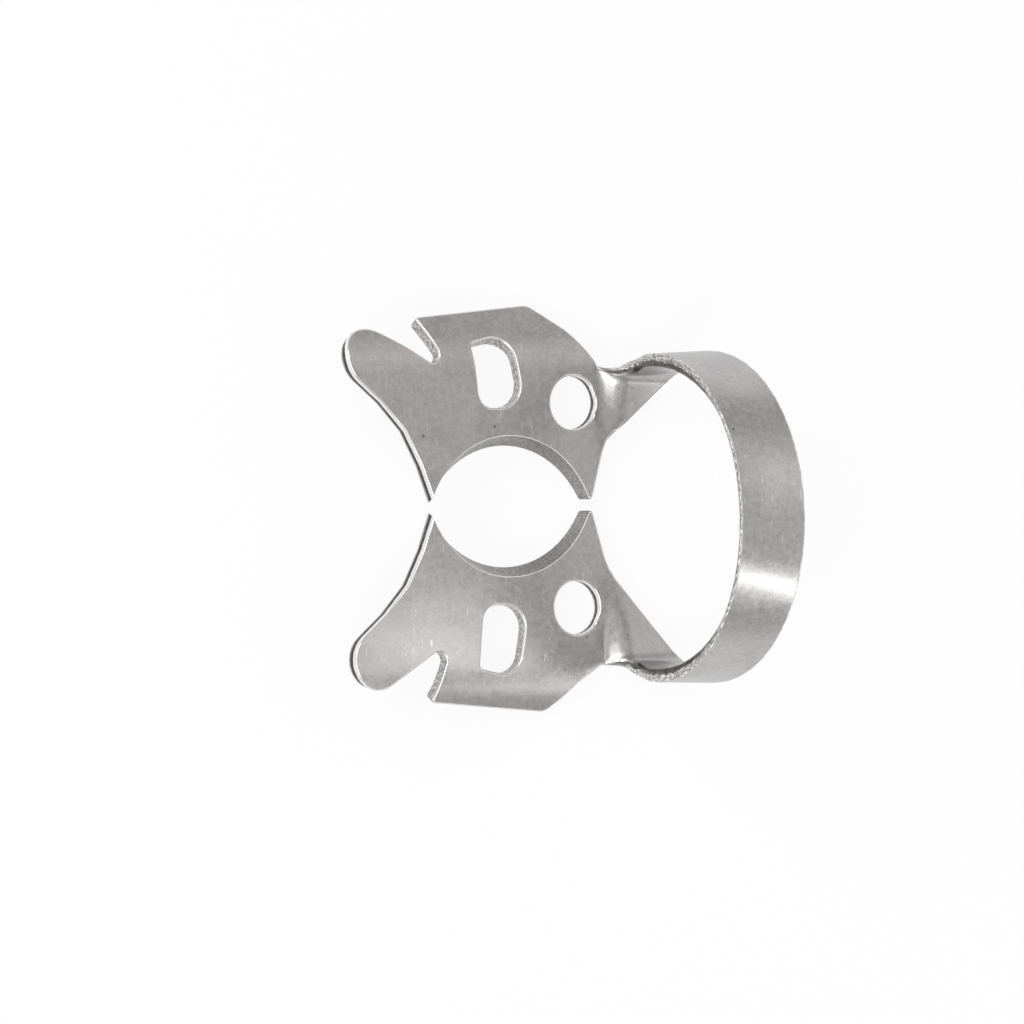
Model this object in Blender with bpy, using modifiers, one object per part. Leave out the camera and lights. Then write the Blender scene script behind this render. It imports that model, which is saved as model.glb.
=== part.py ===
"""Rubber dam clamp: two winged jaws with four prongs on one spring bow, stamped from sheet steel and bent.

The piece is made in the order of the real one: the flat blank is cut, its edges are rounded, the tooth
opening is ground, and the blank is then bent into the jaws, the legs and the bow. Lengths are in metres.
In the flat blank x runs towards the bow. Reach is the distance outwards from the middle of the tooth
opening, measured along the sheet, and is the same for both jaws.
"""

import math

import bmesh
import bpy
import numpy as np
from mathutils import Matrix, Vector

# Sheet
SHEET_THICKNESS = 0.00072
EDGE_ROUNDING = 0.00013
EDGE_SEGMENTS = 2

# Bow strip in the blank
STRIP_X = 0.0063
STRIP_WIDTH = 0.00356
STRIP_SHOULDER_REACH = 0.0077
STRIP_SHOULDER_RADIUS = 0.002

# Neck between wing and strip: the corner where their edges would meet, and its round. Above it the
# strip's edge leans out to its full width.
NECK_CORNER_X = 0.00748
NECK_CORNER_REACH = 0.0062
NECK_RADIUS = 0.0008
WAIST_REACH = 0.0106
WAIST_RADIUS = 0.003

# Wing: heel towards the bow, toe at the notch
WING_HEEL_X = 0.0023
WING_HEEL_REACH = 0.0109
WING_HEEL_RADIUS = 0.0007
WING_TOE_X = -0.0051
WING_TOE_REACH = 0.0102
WING_TOE_RADIUS = 0.00024

# Notch between wing and lobe
NOTCH_X = -0.0039
NOTCH_REACH = 0.0070
NOTCH_RADIUS = 0.00045

# Round lobe at the front of the jaw
LOBE_X = -0.0085
LOBE_REACH = 0.00795
LOBE_RADIUS = 0.00157

# Flank from the lobe to the front prong, and root from the back prong to the strip
FLANK_X = -0.0064
FLANK_REACH = 0.0042
FLANK_RADIUS = 0.008
FRONT_PRONG_X = -0.00485
FRONT_PRONG_REACH = 0.00013
BACK_PRONG_X = 0.0051
BACK_PRONG_REACH = 0.0003
ROOT_X = 0.006
ROOT_REACH = 0.0034
ROOT_RADIUS = 0.0029

# Tooth opening, ground with its wall leaning inwards below
OPENING_X = -0.00008
OPENING_REACH = -0.00159
OPENING_RADIUS = 0.00534
OPENING_LEAN = 37.0
STONE_DEPTH = 4.0

# Holes: a round one for the forceps and a slot beside it
HOLE_X = 0.004
HOLE_REACH = 0.0054
HOLE_RADIUS = 0.00142
SLOT_X = -0.00065
SLOT_REACH = 0.0071
SLOT_WIDTH = 0.0024
SLOT_LENGTH = 0.0038
SLOT_BULGE = 0.0007
SLOT_SLANT = 0.0005
SLOT_INNER_RADIUS = 0.0009
SLOT_OUTER_RADIUS = 0.0012
SLOT_CORNER_RADIUS = 0.00027

# Bends, in degrees and as lengths along the middle of the sheet
WING_BEND = 35.0
WING_BEND_REACH = 0.0088
WING_BEND_SPREAD = 0.0027
ROOT_RISE = 13.5
FOOT_RADIUS = 0.0012
LEG_LEAN = 11.5
LEG_HEIGHT = 0.003
LEG_SPLAY = 2.3
BOW_RADIUS = 0.00827
CREASE_X_AT_PRONG = 0.0048
CREASE_X_AT_ROOT = 0.0063
CREASE_X_AT_NECK = 0.00595
CREASE_NECK_REACH = 0.008
CREASE_END_REACH = 0.0089
CREASE_SPREAD_AT_PRONG = 0.002
CREASE_SPREAD_AT_NECK = 0.0009

# Off the middle of the bow: the jaws and, less so, the neck and root beyond a slanted line
JAW_OFFSET = 0.00076
ROOT_OFFSET = 0.00012
OFFSET_FADE_X = 0.0056
OFFSET_FADE_SLANT = 0.35
OFFSET_FADE_SPREAD = 0.0012

# Fineness of arcs and bends
ARC_STEP = 12.0
OPENING_STEP = 5.0
BOW_STEP = 7.5
FOOT_STEP = 11.0
PLATE_STEP = 0.0012
CREASE_LINES = 12
WING_LINES = 7
LEG_LINES = 3
SECTION_SAMPLES = 80

# Angles between faces that count as an edge: flush faces that become one, edges that the drum rounds
# off, and edges that stay crisp. The foot of the clamp is any side of its hull within REST_CONE of down.
FLUSH_ANGLE = 1.0
ROUNDED_ANGLE = 35.0
CRISP_ANGLE = 40.0
REST_CONE = 37.0

# Distances under which points are one, on the blank and at a cut line, and the step that finds a slope
SAME_PLACE = 0.0000001
SAME_LINE = 0.00001
SLOPE_STEP = 0.000001


def remove_everything():
    for item in list(bpy.data.objects):
        bpy.data.objects.remove(item, do_unlink=True)


def make_collection(name):
    collection = bpy.data.collections.new(name)
    bpy.context.scene.collection.children.link(collection)
    return collection


def steel():
    material = bpy.data.materials.new("satin_spring_steel")
    material.use_nodes = True
    shader = material.node_tree.nodes["Principled BSDF"]
    shader.inputs["Base Color"].default_value = (0.42, 0.415, 0.41, 1.0)
    shader.inputs["Metallic"].default_value = 1.0
    shader.inputs["Roughness"].default_value = 0.38
    return material


def smoothstep(t):
    t = np.clip(t, 0.0, 1.0)
    return t * t * (3.0 - 2.0 * t)


def bend_stations():
    """Reaches where the strip's curve changes: the start of the foot, leg and bow, and the crest.

    From the middle of the opening the strip's root sweeps up, the foot turns it into the leg, the leg
    curves upright and the bow closes over the middle.
    """
    rise = math.radians(ROOT_RISE)
    lean = math.radians(LEG_LEAN)
    leg_radius = LEG_HEIGHT / math.sin(lean)
    leg_outset = leg_radius * (1.0 - math.cos(lean))
    foot_outset = FOOT_RADIUS * (math.cos(lean) - math.sin(rise))
    foot_start_out = BOW_RADIUS - leg_outset - foot_outset
    foot_start = foot_start_out * rise / math.sin(rise)
    leg_start = foot_start + FOOT_RADIUS * (math.pi / 2 - lean - rise)
    bow_start = leg_start + leg_radius * lean
    crest = bow_start + BOW_RADIUS * math.pi / 2
    return foot_start, leg_start, bow_start, crest


def rounded_path(corners):
    """Points of an open path through the corners (x, y, radius), each inner corner turned into an arc."""
    points = [Vector(corners[0][:2])]
    for before, corner, after in zip(corners, corners[1:], corners[2:]):
        here = Vector(corner[:2])
        back = (Vector(before[:2]) - here).normalized()
        ahead = (Vector(after[:2]) - here).normalized()
        half_angle = back.angle(ahead) / 2
        radius = corner[2]
        centre = here + (back + ahead).normalized() * radius / math.sin(half_angle)
        start = here + back * radius / math.tan(half_angle) - centre
        sweep = math.copysign(math.pi - 2 * half_angle, back.cross(ahead))
        steps = max(2, round(math.degrees(abs(sweep)) / ARC_STEP))
        for step in range(steps + 1):
            turn = Matrix.Rotation(-sweep * step / steps, 2)
            points.append(centre + turn @ start)
    points.append(Vector(corners[-1][:2]))
    return points


def lobe_tangents():
    """The two points where the lobe's round end meets straight edges: the notch's shoulder and the flank."""
    centre = Vector((LOBE_X, LOBE_REACH))
    corners = []
    for other, side in (((NOTCH_X, NOTCH_REACH), 1), ((FLANK_X, FLANK_REACH), -1)):
        line = Vector(other) - centre
        tilt = math.acos(LOBE_RADIUS / line.length)
        touch = centre + Matrix.Rotation(side * tilt, 2) @ line.normalized() * LOBE_RADIUS
        corners.append(touch)
    return corners


def lobe_points():
    """The lobe's arc, from the tangent point on the shoulder round the tip to the one on the flank."""
    centre = Vector((LOBE_X, LOBE_REACH))
    shoulder, flank = (point - centre for point in lobe_tangents())
    start = math.atan2(shoulder.y, shoulder.x)
    sweep = (math.atan2(flank.y, flank.x) - start) % (2 * math.pi)
    steps = round(math.degrees(sweep) / ARC_STEP)
    angles = [start + sweep * step / steps for step in range(steps + 1)]
    return [centre + LOBE_RADIUS * Vector((math.cos(a), math.sin(a))) for a in angles]


def blank_outline(crest):
    """Half the blank's outline in x and reach, from the bow's crest round one jaw and back."""
    shoulder, flank = lobe_tangents()
    wing_side = rounded_path(
        [
            (STRIP_X, crest, 0.0),
            (STRIP_X, WAIST_REACH, WAIST_RADIUS),
            (NECK_CORNER_X, NECK_CORNER_REACH, NECK_RADIUS),
            (WING_HEEL_X, WING_HEEL_REACH, WING_HEEL_RADIUS),
            (WING_TOE_X, WING_TOE_REACH, WING_TOE_RADIUS),
            (NOTCH_X, NOTCH_REACH, NOTCH_RADIUS),
            (shoulder.x, shoulder.y, 0.0),
        ]
    )
    prong_side = rounded_path(
        [
            (flank.x, flank.y, 0.0),
            (FLANK_X, FLANK_REACH, FLANK_RADIUS),
            (FRONT_PRONG_X, FRONT_PRONG_REACH, 0.0),
        ]
    )
    strip_x = STRIP_X + STRIP_WIDTH
    root_side = rounded_path(
        [
            (BACK_PRONG_X, BACK_PRONG_REACH, 0.0),
            (ROOT_X, ROOT_REACH, ROOT_RADIUS),
            (strip_x, STRIP_SHOULDER_REACH, STRIP_SHOULDER_RADIUS),
            (strip_x, crest, 0.0),
        ]
    )
    return wing_side[:-1] + lobe_points() + prong_side[1:] + root_side


def circle(centre_x, centre_y, radius):
    steps = round(360.0 / ARC_STEP)
    angles = [2 * math.pi * step / steps for step in range(steps)]
    return [Vector((centre_x + radius * math.cos(a), centre_y + radius * math.sin(a))) for a in angles]


def slot_outline():
    """The slot: straight towards the lobe with a tight outer corner, bulging towards the round hole."""
    left = SLOT_X - SLOT_WIDTH / 2
    right = SLOT_X + SLOT_WIDTH / 2
    inner = SLOT_REACH - SLOT_LENGTH / 2
    outer = SLOT_REACH + SLOT_LENGTH / 2
    corners = [
        (left, inner, SLOT_INNER_RADIUS),
        (right + SLOT_BULGE / 2, inner, SLOT_OUTER_RADIUS),
        (right - SLOT_BULGE / 2, outer, SLOT_OUTER_RADIUS),
        (left - SLOT_BULGE / 2, outer - SLOT_SLANT, SLOT_CORNER_RADIUS),
    ]
    return rounded_path([corners[-1]] + corners + [corners[0]])[1:-1]


def merge_flat_faces(bm, seams):
    """Joins faces in one plane, and leaves them split along the seams, which are lines at these x."""
    for seam in seams:
        score(bm, 0, seam, bm.faces)
    for edge in bm.edges:
        edge.seam = any(all(abs(vert.co.x - seam) < SAME_PLACE for vert in edge.verts) for seam in seams)
    bmesh.ops.dissolve_limit(
        bm, angle_limit=math.radians(FLUSH_ANGLE), verts=bm.verts, edges=bm.edges, delimit={"SEAM"}
    )
    for edge in bm.edges:
        edge.seam = False


def plate(outlines):
    """A plate with these closed outlines, the first its edge and the others holes, as a closed mesh."""
    curve = bpy.data.curves.new("plate", "CURVE")
    curve.dimensions = "2D"
    curve.fill_mode = "BOTH"
    curve.extrude = SHEET_THICKNESS / 2
    for outline in outlines:
        spline = curve.splines.new("POLY")
        spline.points.add(len(outline) - 1)
        spline.use_cyclic_u = True
        for point, place in zip(spline.points, outline):
            point.co = (place.x, place.y, 0.0, 1.0)
    holder = bpy.data.objects.new("plate", curve)
    bpy.context.scene.collection.objects.link(holder)
    mesh = evaluated_mesh(holder)
    bpy.data.objects.remove(holder, do_unlink=True)
    return mesh


def evaluated_mesh(item):
    bpy.context.view_layer.update()
    graph = bpy.context.evaluated_depsgraph_get()
    return bpy.data.meshes.new_from_object(item.evaluated_get(graph))


def grinding_stones(collection, crest):
    """A leaning cylinder at each jaw, so that the tooth opening narrows towards the underside."""
    bm = bmesh.new()
    bmesh.ops.create_cone(
        bm,
        cap_ends=True,
        segments=round(360.0 / OPENING_STEP),
        radius1=OPENING_RADIUS,
        radius2=OPENING_RADIUS,
        depth=SHEET_THICKNESS * STONE_DEPTH,
    )
    lean = math.tan(math.radians(OPENING_LEAN))
    for vert in bm.verts:
        vert.co.x += OPENING_X
        vert.co.y += crest - OPENING_REACH - lean * (vert.co.z - SHEET_THICKNESS / 2)
    mesh = bpy.data.meshes.new("grinding_stones")
    bm.to_mesh(mesh)
    bm.free()
    stones = bpy.data.objects.new("grinding_stones", mesh)
    stones.hide_render = True
    stones.display_type = "WIRE"
    collection.objects.link(stones)
    second = stones.modifiers.new("second_stone", "MIRROR")
    second.use_axis = (False, True, False)
    second.use_mirror_merge = False
    return stones


def half_blank(crest):
    """Half the stamped blank, one jaw and half the strip, open at the bow's crest."""
    outlines = [blank_outline(crest), circle(HOLE_X, HOLE_REACH, HOLE_RADIUS), slot_outline()]
    for outline in outlines:
        for point in outline:
            point.y = crest - point.y
    mesh = plate(outlines)
    bm = bmesh.new()
    bm.from_mesh(mesh)
    bmesh.ops.remove_doubles(bm, verts=bm.verts, dist=SAME_PLACE)
    merge_flat_faces(bm, (HOLE_X, SLOT_X))
    bmesh.ops.recalc_face_normals(bm, faces=bm.faces)
    at_crest = [face for face in bm.faces if all(abs(vert.co.y) < SAME_PLACE for vert in face.verts)]
    bmesh.ops.delete(bm, geom=at_crest, context="FACES")
    bm.to_mesh(mesh)
    bm.free()
    return mesh


def flat_blank(cutters, crest):
    """The whole flat blank, stamped, tumbled and ground, with the bow's crest at y = 0."""
    blank = bpy.data.objects.new("blank", half_blank(crest))
    bpy.context.scene.collection.objects.link(blank)
    mirror = blank.modifiers.new("second_jaw", "MIRROR")
    mirror.use_axis = (False, True, False)
    mirror.merge_threshold = SAME_LINE
    rounding = blank.modifiers.new("tumbled_edges", "BEVEL")
    rounding.width = EDGE_ROUNDING
    rounding.segments = EDGE_SEGMENTS
    rounding.limit_method = "ANGLE"
    rounding.angle_limit = math.radians(ROUNDED_ANGLE)
    rounding.loop_slide = False
    rounding.use_clamp_overlap = False
    grind = blank.modifiers.new("ground_openings", "BOOLEAN")
    grind.operation = "DIFFERENCE"
    grind.solver = "EXACT"
    grind.object = grinding_stones(cutters, crest)
    mesh = evaluated_mesh(blank)
    bpy.data.objects.remove(blank, do_unlink=True)
    return mesh


def spread(start, end, step):
    """Values from start to end, evenly spaced by about the step."""
    count = max(1, math.ceil(abs(end - start) / step))
    return [start + (end - start) * index / count for index in range(count + 1)]


def score(bm, axis, place, faces):
    """Cuts the faces along a line across the blank, so that the sheet can bend there."""
    normal = Vector((1.0, 0.0, 0.0)) if axis == 0 else Vector((0.0, 1.0, 0.0))
    geometry = list({part for face in faces for part in (*face.verts, *face.edges, face)})
    bmesh.ops.bisect_plane(bm, geom=geometry, dist=SAME_LINE, plane_co=normal * place, plane_no=normal)


def faces_between(bm, low_x, high_x, low_y, high_y):
    """The faces whose middle lies in this range of x and of distance from the crest."""
    found = []
    for face in bm.faces:
        middle = face.calc_center_bounds()
        if low_x < middle.x < high_x and low_y < abs(middle.y) < high_y:
            found.append(face)
    return found


def score_bend_lines(bm):
    """Lines where the sheet bends: along each jaw's crease, across its wing, and across the strip."""
    foot_start, leg_start, bow_start, crest = bend_stations()
    wing_start = WING_BEND_REACH - WING_BEND_SPREAD / 2
    wing_end = WING_BEND_REACH + WING_BEND_SPREAD / 2
    near = CREASE_X_AT_PRONG - CREASE_SPREAD_AT_PRONG / 2
    far = CREASE_X_AT_ROOT + CREASE_SPREAD_AT_PRONG / 2
    for side in (-1, 1):
        score(bm, 1, side * (crest - leg_start), bm.faces)
    for x in spread(near, far, (far - near) / CREASE_LINES):
        score(bm, 0, x, faces_between(bm, -math.inf, math.inf, crest - leg_start, math.inf))
    wing_lines = spread(wing_start, wing_end, WING_BEND_SPREAD / WING_LINES)
    strip_lines = spread(0.0, foot_start, PLATE_STEP)
    strip_lines += spread(foot_start, leg_start, FOOT_RADIUS * math.radians(FOOT_STEP))[1:]
    strip_lines += spread(leg_start, bow_start, LEG_HEIGHT / LEG_LINES)[1:]
    strip_lines += spread(bow_start, crest, BOW_RADIUS * math.radians(BOW_STEP))[1:]
    for reaches, low_x, high_x in ((wing_lines, -math.inf, far), (strip_lines, near, math.inf)):
        for reach in reaches:
            for side in (-1, 1):
                score(bm, 1, side * (crest - reach), faces_between(bm, low_x, high_x, 0.0, math.inf))


def crease_line(reach):
    """Where the jaw's plane turns into the root at this reach, and over what width."""
    part_way = np.minimum(reach, CREASE_END_REACH) / CREASE_NECK_REACH
    bulge = 2.0 * CREASE_X_AT_ROOT - (CREASE_X_AT_PRONG + CREASE_X_AT_NECK) / 2.0
    place = (
        (1.0 - part_way) ** 2 * CREASE_X_AT_PRONG
        + 2.0 * part_way * (1.0 - part_way) * bulge
        + part_way**2 * CREASE_X_AT_NECK
    )
    width = CREASE_SPREAD_AT_PRONG + (CREASE_SPREAD_AT_NECK - CREASE_SPREAD_AT_PRONG) * part_way
    return place, width


def off_middle(x, reach):
    """How far to one side a point of the blank sits from where a clamp that is alike on both sides has it."""
    slanted = x + OFFSET_FADE_SLANT * (reach - HOLE_REACH)
    fade = smoothstep((slanted - OFFSET_FADE_X) / OFFSET_FADE_SPREAD)
    return JAW_OFFSET + (ROOT_OFFSET - JAW_OFFSET) * fade


def middle_surface(x, reach):
    """Where the middle of the bent sheet lies for points of one half: out from the middle, and up."""
    foot_start, leg_start, bow_start, crest = bend_stations()
    along = reach[:, None] * np.linspace(0.0, 1.0, SECTION_SAMPLES)
    wing = -WING_BEND * smoothstep((along - WING_BEND_REACH) / WING_BEND_SPREAD + 0.5)
    stations = (0.0, foot_start, leg_start, bow_start, crest)
    strip = np.interp(along, stations, (0.0, ROOT_RISE, 90.0 - LEG_LEAN, 90.0, 180.0))
    crease, crease_spread = crease_line(along)
    share = smoothstep((x[:, None] - crease) / crease_spread + 0.5)
    slope = np.radians((1.0 - share) * wing + share * strip)
    step = (reach / (SECTION_SAMPLES - 1))[:, None]
    out = ((np.cos(slope[:, 1:]) + np.cos(slope[:, :-1])) / 2 * step).sum(axis=1)
    up = ((np.sin(slope[:, 1:]) + np.sin(slope[:, :-1])) / 2 * step).sum(axis=1)
    up_the_leg = smoothstep((reach - foot_start) / (bow_start - foot_start))
    splay = math.tan(math.radians(LEG_SPLAY)) * np.sin(slope[:, -1]) * up_the_leg * share[:, -1]
    out += (x - STRIP_X) * splay
    return np.stack([x, out, up], axis=1)


def bend(flat, crest):
    """Bends points of the flat blank, taking each one's height in the sheet along the sheet's normal."""
    side = np.where(flat[:, 1] > 0, -1.0, 1.0)
    reach = crest - np.abs(flat[:, 1])
    x = flat[:, 0]
    middle = middle_surface(x, reach)
    along_x = middle_surface(x + SLOPE_STEP, reach) - middle_surface(x - SLOPE_STEP, reach)
    along_reach = middle_surface(x, reach + SLOPE_STEP) - middle_surface(x, reach - SLOPE_STEP)
    normal = np.cross(along_x, along_reach)
    normal /= np.linalg.norm(normal, axis=1, keepdims=True)
    bent = middle + normal * flat[:, 2:3]
    bent[:, 1] *= side
    return bent


def centre_of_mass(bm):
    faces = bm.calc_loop_triangles()
    corners = np.array([[loop.vert.co for loop in face] for face in faces])
    volumes = np.linalg.det(corners) / 6
    return Vector((corners.sum(axis=1) / 4 * volumes[:, None]).sum(axis=0) / volumes.sum())


def resting_turn(bm):
    """The turn that lays the clamp down on the side of its convex hull that carries its centre of mass."""
    centre = centre_of_mass(bm)
    hull = bm.copy()
    bmesh.ops.convex_hull(hull, input=hull.verts)
    down = Vector((0.0, 0.0, -1.0))
    steepest = math.cos(math.radians(REST_CONE))
    not_below = [face for face in hull.faces if face.normal.dot(down) < steepest]
    bmesh.ops.delete(hull, geom=not_below, context="FACES")
    bmesh.ops.triangulate(hull, faces=hull.faces)
    turn = None
    for face in hull.faces:
        corners = [vert.co for vert in face.verts]
        foot = centre + face.normal * (corners[0] - centre).dot(face.normal)
        inside = [
            (b - a).cross(foot - a).dot(face.normal) > 0
            for a, b in zip(corners, corners[1:] + corners[:1])
        ]
        if all(inside):
            turn = face.normal.rotation_difference(down)
    hull.free()
    return turn.to_matrix().to_4x4()


def build_clamp():
    collection = make_collection("rubber_dam_clamp")
    cutters = make_collection("cutters")
    crest = bend_stations()[-1]
    mesh = flat_blank(cutters, crest)
    bm = bmesh.new()
    bm.from_mesh(mesh)
    for vert in bm.verts:
        vert.co.y += off_middle(vert.co.x, crest - abs(vert.co.y))
    score_bend_lines(bm)
    bmesh.ops.triangulate(bm, faces=bm.faces)
    flat = np.array([vert.co for vert in bm.verts])
    for vert, place in zip(bm.verts, bend(flat, crest)):
        vert.co = place
    turn = resting_turn(bm)
    bmesh.ops.transform(bm, matrix=turn, verts=bm.verts)
    places = np.array([vert.co for vert in bm.verts])
    low, high = places.min(axis=0), places.max(axis=0)
    bmesh.ops.translate(
        bm,
        verts=bm.verts,
        vec=(-(low[0] + high[0]) / 2, -(low[1] + high[1]) / 2, -low[2]),
    )
    bm.to_mesh(mesh)
    bm.free()
    mesh.shade_smooth()
    mesh.set_sharp_from_angle(angle=math.radians(CRISP_ANGLE))
    mesh.materials.clear()
    mesh.materials.append(steel())
    clamp = bpy.data.objects.new("clamp", mesh)
    collection.objects.link(clamp)


remove_everything()
build_clamp()
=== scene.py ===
import math

import bpy
import numpy as np
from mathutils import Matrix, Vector
from mathutils.bvhtree import BVHTree


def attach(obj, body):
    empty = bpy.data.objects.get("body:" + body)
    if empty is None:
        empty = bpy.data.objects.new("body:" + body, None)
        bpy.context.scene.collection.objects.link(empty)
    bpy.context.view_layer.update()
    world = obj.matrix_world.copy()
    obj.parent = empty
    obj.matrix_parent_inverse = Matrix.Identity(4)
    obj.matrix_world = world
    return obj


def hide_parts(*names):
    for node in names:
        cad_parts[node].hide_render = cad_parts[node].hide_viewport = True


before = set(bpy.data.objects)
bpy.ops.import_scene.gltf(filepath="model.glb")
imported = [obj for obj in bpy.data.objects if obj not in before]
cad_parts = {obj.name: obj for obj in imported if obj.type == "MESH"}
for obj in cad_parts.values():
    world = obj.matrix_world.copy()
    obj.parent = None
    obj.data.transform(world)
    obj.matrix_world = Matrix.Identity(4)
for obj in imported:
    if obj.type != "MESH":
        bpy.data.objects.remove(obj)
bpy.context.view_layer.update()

# The clamp: one strip of spring steel, stamped, bent into two winged jaws and a bow, and tumbled.
# Its faces are satin from the drum and its rims are worn bright, with a painted highlight on top. The
# wall of the tooth opening is ground, with a painted highlight along its inner side, and the bow's cut
# edge is sheared dark on its inner side, darkened further by painted shade, and torn and grainy on its
# outer side.
sheet_thickness = 0.00072
merge_distance = 0.000001
crisp_edge = math.radians(50.0)
inside_the_bow = Vector((0.0084, -0.001, 0.0079))
middle_of_the_tooth = Vector((-0.0013, 0.0001, 0.0023))
tooth_opening_radius = 0.0058

bpy.ops.object.select_all(action="DESELECT")
cad_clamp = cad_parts["clamp"]
clamp_mesh = cad_clamp.data.copy()
clamp_mesh.name = "spring_steel_clamp"
clamp = bpy.data.objects.new("spring_steel_clamp", clamp_mesh)
bpy.context.scene.collection.objects.link(clamp)
bpy.context.view_layer.objects.active = clamp
clamp.select_set(True)
bpy.ops.object.mode_set(mode="EDIT")
bpy.ops.mesh.customdata_custom_splitnormals_clear()
bpy.ops.mesh.select_all(action="SELECT")
bpy.ops.mesh.remove_doubles(threshold=merge_distance)
bpy.ops.object.mode_set(mode="OBJECT")
bpy.ops.object.shade_smooth_by_angle(angle=crisp_edge)


# Each face that has the other side of the sheet right behind it belongs to one of the two rolled
# sides. The place of a point between those sides is kept as the attribute across, 0 on the side
# that faces into the bow and 1 on the other, for the steel of the cut edges.
def rolled_sides(mesh, thickness, inside):
    just_below = thickness * 0.01
    farthest_back = thickness * 1.25
    facing_away = -0.95
    places = [vert.co.copy() for vert in mesh.vertices]
    corners = [tuple(face.vertices) for face in mesh.polygons]
    tree = BVHTree.FromPolygons(places, corners)
    inner = []
    outer = []
    for face in mesh.polygons:
        start = face.center - face.normal * just_below
        back_normal = tree.ray_cast(start, -face.normal, farthest_back)[1]
        if back_normal is not None and back_normal.dot(face.normal) < facing_away:
            side = inner if face.normal.dot(inside - face.center) > 0 else outer
            side.append(corners[face.index])
    return BVHTree.FromPolygons(places, inner), BVHTree.FromPolygons(places, outer)


def keep_attribute(mesh, name, domain, values):
    mesh.attributes.new(name, "FLOAT", domain)
    mesh.attributes[name].data.foreach_set("value", np.array(values, np.float32))


inner_side, outer_side = rolled_sides(clamp_mesh, sheet_thickness, inside_the_bow)
across = []
for vert in clamp_mesh.vertices:
    to_inner = inner_side.find_nearest(vert.co)[3]
    to_outer = outer_side.find_nearest(vert.co)[3]
    across.append(to_inner / max(to_inner + to_outer, merge_distance))
keep_attribute(clamp_mesh, "across", "POINT", across)

# The height over the jaws tells the bow's rough edge from the jaws' smoother ones. The largest face
# of all is the flat of a jaw.
jaw_face = max(clamp_mesh.polygons, key=lambda face: face.area)
jaw_up = jaw_face.normal * math.copysign(1.0, jaw_face.normal.z)
heights = [(vert.co - jaw_face.center).dot(jaw_up) for vert in clamp_mesh.vertices]
keep_attribute(clamp_mesh, "over_jaws", "POINT", heights)

# The wall that looks at the tooth is marked as ground.
near_a_side = 0.05
ground = []
for face in clamp_mesh.polygons:
    shares = [across[index] for index in face.vertices]
    to_tooth = middle_of_the_tooth - face.center
    cut = max(shares) > near_a_side and min(shares) < 1.0 - near_a_side
    ground.append(cut and to_tooth.length < tooth_opening_radius and to_tooth.dot(face.normal) > 0)
keep_attribute(clamp_mesh, "ground", "FACE", ground)

# The walls of the notches and of the slots are paler than the flanks: each face near the middle of
# one of these four cuts is marked.
notch_reach = 0.00205
slot_reach = 0.0025
pale_cuts = (
    (Vector((-0.0057, 0.0084, 0.0028)), notch_reach),
    (Vector((-0.0057, -0.0082, 0.0021)), notch_reach),
    (Vector((-0.0020, 0.0072, 0.0019)), slot_reach),
    (Vector((-0.0021, -0.0070, 0.0013)), slot_reach),
)
pale = [
    any((face.center - middle).length < reach for middle, reach in pale_cuts)
    for face in clamp_mesh.polygons
]
keep_attribute(clamp_mesh, "pale", "FACE", pale)

# Each corner is shaded by the strongest kind of face round it: the rolled sides first, then the cut
# walls, then the rounding between them, so that a flat jaw stays flat right up to its rounded edge.
rolled_share = 0.02
wall_share = 0.12
rounding, wall, rolled = 1, 2, 3


def kind_of(shares):
    if max(shares) < rolled_share or min(shares) > 1.0 - rolled_share:
        return rolled
    if min(shares) > wall_share and max(shares) < 1.0 - wall_share:
        return wall
    return rounding


def corner_angle(mesh, face, corner):
    middle = mesh.vertices[corner].co
    sides = [mesh.vertices[index].co - middle for index in face.vertices if index != corner]
    return sides[0].angle(sides[-1])


kinds = [kind_of([across[index] for index in face.vertices]) for face in clamp_mesh.polygons]
faces_round = [[] for vert in clamp_mesh.vertices]
for face in clamp_mesh.polygons:
    for index in face.vertices:
        faces_round[index].append((face, corner_angle(clamp_mesh, face, index)))
widest_step = math.cos(crisp_edge)
even_normals = []
for face in clamp_mesh.polygons:
    for index in face.vertices:
        near = [pair for pair in faces_round[index] if pair[0].normal.dot(face.normal) > widest_step]
        strongest = max(kinds[other.index] for other, angle in near)
        near = [pair for pair in near if kinds[pair[0].index] == strongest]
        even_normals.append(sum((other.normal * angle for other, angle in near), Vector()).normalized())
clamp_mesh.normals_split_custom_set(even_normals)

# The steel is bare metal all over. Its colour, roughness and relief are worked out for the rolled
# faces, for the cut walls and for the rims between them, and then blended by the place across the sheet.
steel = bpy.data.materials.new("satin_spring_steel")
steel.use_nodes = True
steel_nodes = steel.node_tree.nodes
steel_links = steel.node_tree.links
steel_shader = steel_nodes["Principled BSDF"]
steel_shader.inputs["Metallic"].default_value = 1.0


def add_node(kind, **settings):
    node = steel_nodes.new(kind)
    for name, value in settings.items():
        setattr(node, name, value)
    return node


def join(source, target):
    steel_links.new(source, target)


steel_place = add_node("ShaderNodeTexCoord").outputs["Object"]
across_sheet = add_node("ShaderNodeAttribute", attribute_name="across").outputs["Fac"]
over_jaws = add_node("ShaderNodeAttribute", attribute_name="over_jaws").outputs["Fac"]
is_ground = add_node("ShaderNodeAttribute", attribute_name="ground").outputs["Fac"]
is_pale = add_node("ShaderNodeAttribute", attribute_name="pale").outputs["Fac"]


def calculate(operation, first, second=None, third=None):
    node = add_node("ShaderNodeMath", operation=operation)
    for socket, value in zip(node.inputs, (first, second, third)):
        if isinstance(value, (int, float)):
            socket.default_value = value
        elif value is not None:
            join(value, socket)
    return node.outputs[0]


def remap(value, from_low, from_high, to_low=0.0, to_high=1.0):
    node = add_node("ShaderNodeMapRange", interpolation_type="SMOOTHSTEP")
    join(value, node.inputs["Value"])
    names = ("From Min", "From Max", "To Min", "To Max")
    for name, number in zip(names, (from_low, from_high, to_low, to_high)):
        node.inputs[name].default_value = number
    return node.outputs["Result"]


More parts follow.
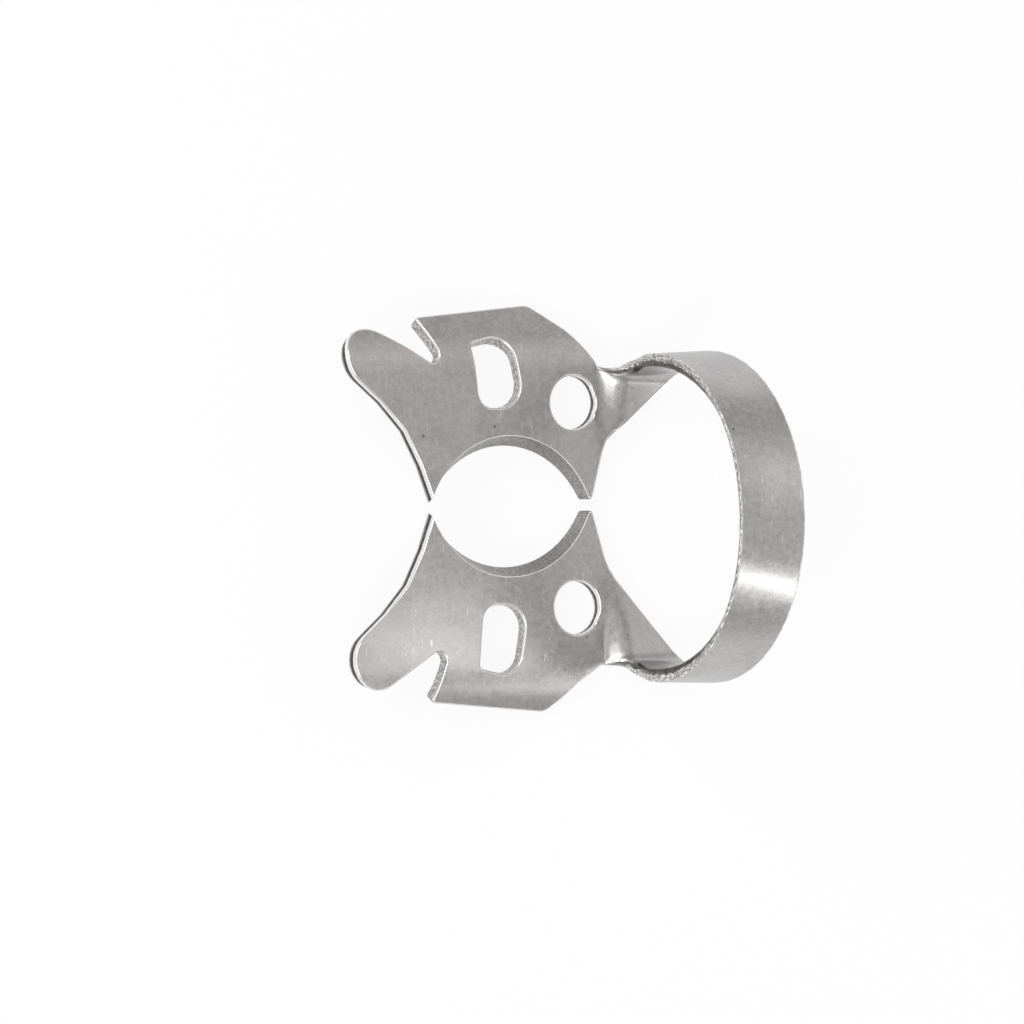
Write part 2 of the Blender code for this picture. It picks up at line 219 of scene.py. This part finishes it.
# Nearly all of a grain's values lie between 0.3 and 0.7, so this brings them out over a full range.
def full_range(values, low=0.0, high=1.0):
    return remap(values, 0.3, 0.7, low, high)


def grain(size, detail=3.0, roughness=0.55, place=steel_place):
    node = add_node("ShaderNodeTexNoise")
    node.inputs["Scale"].default_value = 1.0 / size
    node.inputs["Detail"].default_value = detail
    node.inputs["Roughness"].default_value = roughness
    join(place, node.inputs["Vector"])
    return node.outputs["Fac"]


def stretched(turn, squeeze):
    node = add_node("ShaderNodeMapping")
    join(steel_place, node.inputs["Vector"])
    node.inputs["Rotation"].default_value = (0.0, 0.0, math.radians(turn))
    node.inputs["Scale"].default_value = squeeze
    return node.outputs["Vector"]


def blend_colour(share, first, second):
    node = add_node("ShaderNodeMix", data_type="RGBA")
    join(share, node.inputs["Factor"])
    colours = [socket for socket in node.inputs if socket.type == "RGBA"]
    for socket, value in zip(colours, (first, second)):
        if isinstance(value, tuple):
            socket.default_value = (*value, 1.0)
        else:
            join(value, socket)
    return [socket for socket in node.outputs if socket.type == "RGBA"][0]


def blend(share, first, second):
    node = add_node("ShaderNodeMix", data_type="FLOAT")
    join(share, node.inputs["Factor"])
    numbers = [socket for socket in node.inputs if socket.type == "VALUE" and socket.name != "Factor"]
    for socket, value in zip(numbers, (first, second)):
        if isinstance(value, (int, float)):
            socket.default_value = value
        else:
            join(value, socket)
    return [socket for socket in node.outputs if socket.type == "VALUE"][0]


# Rolled faces: a fine mottled speckle from the drum, cloudy patches, short scratches and a few pits.
satin_grey = (0.463, 0.455, 0.453)
scratch_bright = (0.8, 0.79, 0.785)
pit_dark = (0.13, 0.125, 0.12)
scratch_turns = (78, 96, 12)
scratch_squeeze = (1.0, 0.09, 1.0)
pit_spacing = 0.0011
cells_without_a_pit = 0.86

speckle = grain(size=0.00008, detail=2.0)
mottle = grain(size=0.0003, detail=4.0, roughness=0.62)
cloud = grain(size=0.0022)
scratch_marks = None
for turn in scratch_turns:
    streak = grain(0.00011, 2.0, 0.5, stretched(turn, scratch_squeeze))
    mark = remap(streak, 0.69, 0.76)
    scratch_marks = mark if scratch_marks is None else calculate("MAXIMUM", scratch_marks, mark)
pit_cells = add_node("ShaderNodeTexVoronoi", feature="F1")
pit_cells.inputs["Scale"].default_value = 1.0 / pit_spacing
join(steel_place, pit_cells.inputs["Vector"])
pit_choice = add_node("ShaderNodeSeparateColor")
join(pit_cells.outputs["Color"], pit_choice.inputs["Color"])
pit_here = calculate("GREATER_THAN", pit_choice.outputs["Red"], cells_without_a_pit)
pits = calculate("MULTIPLY", remap(pit_cells.outputs["Distance"], 0.05, 0.11, 1.0, 0.0), pit_here)

tone = full_range(mottle, 0.915, 1.085)
tone = calculate("ADD", tone, full_range(speckle, -0.08, 0.08))
tone = calculate("ADD", tone, full_range(cloud, -0.05, 0.05))
face_tint = add_node("ShaderNodeMix", data_type="RGBA", blend_type="MULTIPLY")
face_tint.inputs["Factor"].default_value = 1.0
tint_sockets = [socket for socket in face_tint.inputs if socket.type == "RGBA"]
tint_sockets[0].default_value = (*satin_grey, 1.0)
join(tone, tint_sockets[1])
face_colour = [socket for socket in face_tint.outputs if socket.type == "RGBA"][0]
face_colour = blend_colour(calculate("MULTIPLY", scratch_marks, 0.6), face_colour, scratch_bright)
face_colour = blend_colour(calculate("MULTIPLY", pits, 0.75), face_colour, pit_dark)

# The bow's wall is dark where it was sheared, and that dark is partly burnish and partly painted
# shade. It is bright and grainy where it tore, with a border that wanders. The tear's grain is drawn out
# along the strip.
sheared_shade_dark = (0.1, 0.098, 0.096)
sheared_shade_light = (0.2, 0.196, 0.192)
torn_dark = (0.34, 0.335, 0.33)
torn_light = (0.9, 0.89, 0.88)
along_strip = 0.3

wander = full_range(grain(size=0.0004), -0.1, 0.1)
torn = remap(calculate("ADD", wander, across_sheet), 0.44, 0.52)
steel_axes = add_node("ShaderNodeSeparateXYZ")
join(steel_place, steel_axes.inputs["Vector"])
strip_place = add_node("ShaderNodeCombineXYZ")
join(calculate("MULTIPLY", across_sheet, sheet_thickness), strip_place.inputs["X"])
join(calculate("MULTIPLY", steel_axes.outputs["Y"], along_strip), strip_place.inputs["Y"])
join(calculate("MULTIPLY", steel_axes.outputs["Z"], along_strip), strip_place.inputs["Z"])
torn_grain = grain(0.00008, 3.0, 0.65, strip_place.outputs["Vector"])
torn_colour = blend_colour(remap(torn_grain, 0.4, 0.64), torn_dark, torn_light)
# The sheared band's dark greys are partly burnish and partly painted shade.
sheared_and_shade_colour = blend_colour(full_range(mottle), sheared_shade_dark, sheared_shade_light)
bow_wall = blend_colour(torn, sheared_and_shade_colour, torn_colour)

# The jaws' walls are dark across their middle, partly burnish and mostly painted shade, between a
# painted white highlight on the inner side and a grey band on the outer side. In the notches and
# slots they are pale and mottled under the same painted white highlight.
painted_highlight_white = (0.97, 0.96, 0.955)
border_grey = (0.42, 0.415, 0.41)
burnished_shade_dark = (0.035, 0.034, 0.034)
burnished_shade_light = (0.09, 0.088, 0.087)
pale_dark = (0.27, 0.266, 0.263)
pale_light = (0.66, 0.65, 0.645)
jaw_wander = 0.15

burnish_and_painted_shade = blend_colour(full_range(mottle), burnished_shade_dark, burnished_shade_light)
jaw_place = calculate("MULTIPLY_ADD", wander, jaw_wander, across_sheet)
# A painted white highlight on the inner side, then painted shade across the middle of the wall.
jaw_wall = blend_colour(remap(jaw_place, 0.3, 0.42), painted_highlight_white, burnish_and_painted_shade)
jaw_wall = blend_colour(remap(jaw_place, 0.6, 0.72), jaw_wall, border_grey)
pale_grain = grain(size=0.00015, roughness=0.65)
pale_colour = blend_colour(remap(pale_grain, 0.34, 0.7), pale_dark, pale_light)
# The painted white highlight runs along the inner side of the pale walls too.
pale_colour = blend_colour(remap(across_sheet, 0.16, 0.24, 1.0, 0.0), pale_colour, painted_highlight_white)
jaw_wall = blend_colour(is_pale, jaw_wall, pale_colour)
on_bow = remap(over_jaws, 0.0004, 0.0012)
wall_colour = blend_colour(on_bow, jaw_wall, bow_wall)

# The wall at the tooth is ground to a plain grey with fine streaks, with a painted white highlight along
# its inner side.
ground_dark = (0.25, 0.246, 0.244)
ground_light = (0.4, 0.394, 0.39)
ground_painted_highlight = (0.95, 0.94, 0.935)
grinding_squeeze = (1.0, 1.0, 0.25)

ground_streaks = grain(0.00012, 3.0, 0.6, stretched(0, grinding_squeeze))
ground_colour = blend_colour(full_range(ground_streaks), ground_dark, ground_light)
# The near-white along the inner side of the ground wall is a painted highlight.
ground_colour = blend_colour(remap(across_sheet, 0.05, 0.09, 1.0, 0.0), ground_colour, ground_painted_highlight)
wall_colour = blend_colour(is_ground, wall_colour, ground_colour)

# The rims are the rounding at each side of the sheet, rubbed bright in the drum and painted
# brighter still as a highlight. They are narrower along the bow's rough edge.
rim_wear_and_highlight = (0.78, 0.77, 0.765)


def band(start, full, fade, end):
    return calculate("MULTIPLY", remap(across_sheet, start, full), remap(across_sheet, fade, end, 1.0, 0.0))


past_rim = band(0.13, 0.18, 0.82, 0.87)
past_bow_rim = band(0.03, 0.07, 0.93, 0.97)
on_wall = calculate("MAXIMUM", blend(on_bow, past_rim, past_bow_rim), is_ground)
on_rim = band(0.005, 0.04, 0.96, 0.995)
# The rims' bright grey is wear from the drum with a painted highlight on top.
rim_wear_and_highlight_colour = blend_colour(on_rim, face_colour, rim_wear_and_highlight)
join(blend_colour(on_wall, rim_wear_and_highlight_colour, wall_colour), steel_shader.inputs["Base Color"])

# Scratches and rims are smoother than the satin, and the tear is rougher than the sheared wall.
rim_roughness = 0.24
sheared_roughness = 0.3
torn_roughness = 0.42

face_roughness = full_range(mottle, 0.28, 0.37)
face_roughness = calculate("MULTIPLY_ADD", scratch_marks, -0.1, face_roughness)
edge_roughness = blend(on_rim, face_roughness, rim_roughness)
wall_roughness = blend(torn, sheared_roughness, torn_roughness)
join(blend(on_wall, edge_roughness, wall_roughness), steel_shader.inputs["Roughness"])

# The relief follows the same marks: scratches and pits are cut in, and the tear stands up in grains.
relief_depth = 0.000006
tear_height = 5.0

face_height = calculate("MULTIPLY_ADD", speckle, 0.25, calculate("MULTIPLY", mottle, 0.6))
face_height = calculate("MULTIPLY_ADD", cloud, 3.0, face_height)
face_height = calculate("MULTIPLY_ADD", scratch_marks, -0.3, face_height)
face_height = calculate("MULTIPLY_ADD", pits, -1.2, face_height)
torn_on_bow = calculate("MULTIPLY", torn, on_bow)
torn_on_bow = calculate("MULTIPLY", torn_on_bow, calculate("MULTIPLY", past_rim, tear_height))
steel_relief = add_node("ShaderNodeBump")
steel_relief.inputs["Strength"].default_value = 1.0
steel_relief.inputs["Distance"].default_value = relief_depth
join(calculate("MULTIPLY_ADD", torn_grain, torn_on_bow, face_height), steel_relief.inputs["Height"])
join(steel_relief.outputs["Normal"], steel_shader.inputs["Normal"])

clamp_mesh.materials.clear()
clamp_mesh.materials.append(steel)
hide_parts("clamp")
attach(clamp, "root")

# The floor: a sheet of white board, evenly lit, on which the clamp leaves a faint soft shadow.
# To the camera and in reflections it is nearly pure white.
floor_width = 1.2
white_share = 0.9

bpy.ops.mesh.primitive_plane_add(size=floor_width, location=(0.0, 0.0, 0.0))
floor = bpy.context.active_object
floor.name = "floor"
board = bpy.data.materials.new("white_board")
board.use_nodes = True
board_nodes = board.node_tree.nodes
board_links = board.node_tree.links
board_nodes.remove(board_nodes["Principled BSDF"])
plain_board = board_nodes.new("ShaderNodeBsdfDiffuse")
plain_board.inputs["Color"].default_value = (0.8, 0.8, 0.8, 1.0)
white_glow = board_nodes.new("ShaderNodeEmission")
white_glow.inputs["Color"].default_value = (1.0, 1.0, 1.0, 1.0)
seen_board = board_nodes.new("ShaderNodeMixShader")
seen_board.inputs["Fac"].default_value = white_share
board_links.new(plain_board.outputs["BSDF"], seen_board.inputs[1])
board_links.new(white_glow.outputs["Emission"], seen_board.inputs[2])
board_rays = board_nodes.new("ShaderNodeLightPath")
seen_or_mirrored = board_nodes.new("ShaderNodeMath")
seen_or_mirrored.operation = "MAXIMUM"
board_links.new(board_rays.outputs["Is Camera Ray"], seen_or_mirrored.inputs[0])
board_links.new(board_rays.outputs["Is Glossy Ray"], seen_or_mirrored.inputs[1])
board_choice = board_nodes.new("ShaderNodeMixShader")
board_links.new(seen_or_mirrored.outputs[0], board_choice.inputs["Fac"])
board_links.new(plain_board.outputs["BSDF"], board_choice.inputs[1])
board_links.new(seen_board.outputs["Shader"], board_choice.inputs[2])
board_links.new(board_choice.outputs["Shader"], board_nodes["Material Output"].inputs["Surface"])
floor.data.materials.append(board)

# The room: white to the camera, and as light a pale grey tent that is darker towards its two sides.
room_light = 0.72
side_light = 0.54
light_range = {"From Min": 0.35, "From Max": 0.95, "To Min": room_light, "To Max": side_light}

room = bpy.data.worlds.new("room")
bpy.context.scene.world = room
room.use_nodes = True
room_nodes = room.node_tree.nodes
room_links = room.node_tree.links
room_back = room_nodes["Background"]
room_back.inputs["Color"].default_value = (1.0, 0.995, 0.99, 1.0)
room_place = room_nodes.new("ShaderNodeTexCoord")
room_axes = room_nodes.new("ShaderNodeSeparateXYZ")
room_links.new(room_place.outputs["Generated"], room_axes.inputs["Vector"])
room_side = room_nodes.new("ShaderNodeMath")
room_side.operation = "ABSOLUTE"
room_links.new(room_axes.outputs["Y"], room_side.inputs[0])
room_fall = room_nodes.new("ShaderNodeMapRange")
room_fall.interpolation_type = "SMOOTHSTEP"
room_links.new(room_side.outputs["Value"], room_fall.inputs["Value"])
for socket_name, number in light_range.items():
    room_fall.inputs[socket_name].default_value = number
room_links.new(room_fall.outputs["Result"], room_back.inputs["Strength"])
room_white = room_nodes.new("ShaderNodeBackground")
room_white.inputs["Color"].default_value = (1.0, 1.0, 1.0, 1.0)
room_white.inputs["Strength"].default_value = 1.0
room_rays = room_nodes.new("ShaderNodeLightPath")
room_choice = room_nodes.new("ShaderNodeMixShader")
room_links.new(room_rays.outputs["Is Camera Ray"], room_choice.inputs["Fac"])
room_links.new(room_back.outputs["Background"], room_choice.inputs[1])
room_links.new(room_white.outputs["Background"], room_choice.inputs[2])
room_links.new(room_choice.outputs["Shader"], room_nodes["World Output"].inputs["Surface"])

# The lamps: a small soft box close over the bow, a strip and a fill close over the jaws, a faint box
# beyond the bow, a wide low panel past the lobes, which brightens the rims, and on each side a box
# that puts the white spot on the neck. Each has its name, place, aim, width, height and watts.
under_the_clamp = (0.0, 0.0, 0.0)
lamps = (
    ("bow_box", (0.0375, -0.0250, 0.0245), (0.0133, -0.0040, 0.0076), 0.024, 0.012, 0.0011),
    ("jaw_strip", (0.0104, -0.0084, 0.0171), (-0.0041, -0.0077, 0.0032), 0.002, 0.013, 0.00021),
    ("jaw_fill", (0.0158, 0.0032, 0.0163), (0.0010, 0.0038, 0.0027), 0.006, 0.008, 0.00004),
    ("faint_box", (0.2397, 0.1697, 0.19), under_the_clamp, 0.22, 0.22, 0.028),
    ("low_panel", (-0.2085, -0.0078, 0.2154), under_the_clamp, 0.30, 0.25, 0.25),
    ("neck_box_left", (-0.1670, -0.1670, 0.1850), under_the_clamp, 0.14, 0.14, 0.26),
    ("neck_box_right", (-0.1750, 0.1550, 0.1850), under_the_clamp, 0.14, 0.14, 0.22),
)

for name, place, aim, width, height, watts in lamps:
    bpy.ops.object.light_add(type="AREA", location=place)
    lamp = bpy.context.active_object
    lamp.name = name
    lamp.data.shape = "RECTANGLE"
    lamp.data.size = width
    lamp.data.size_y = height
    lamp.data.energy = watts
    lamp.visible_camera = False
    lamp.rotation_mode = "QUATERNION"
    lamp.rotation_quaternion = (Vector(place) - Vector(aim)).to_track_quat("Z", "Y")

# The camera: far off with a long lens, over the lobes and looking down towards the bow.
camera_place = (-0.603117, -0.067498, 1.592986)
camera_turn = [math.radians(angle) for angle in (3.1061, -20.6195, -2.3823)]

bpy.ops.object.camera_add(location=camera_place, rotation=camera_turn)
camera = bpy.context.active_object
camera.data.sensor_width = 36.0
camera.data.lens = 1135.55
camera.data.clip_start = 0.1
camera.data.clip_end = 10.0
bpy.context.scene.camera = camera
bpy.context.scene.view_settings.view_transform = "Standard"
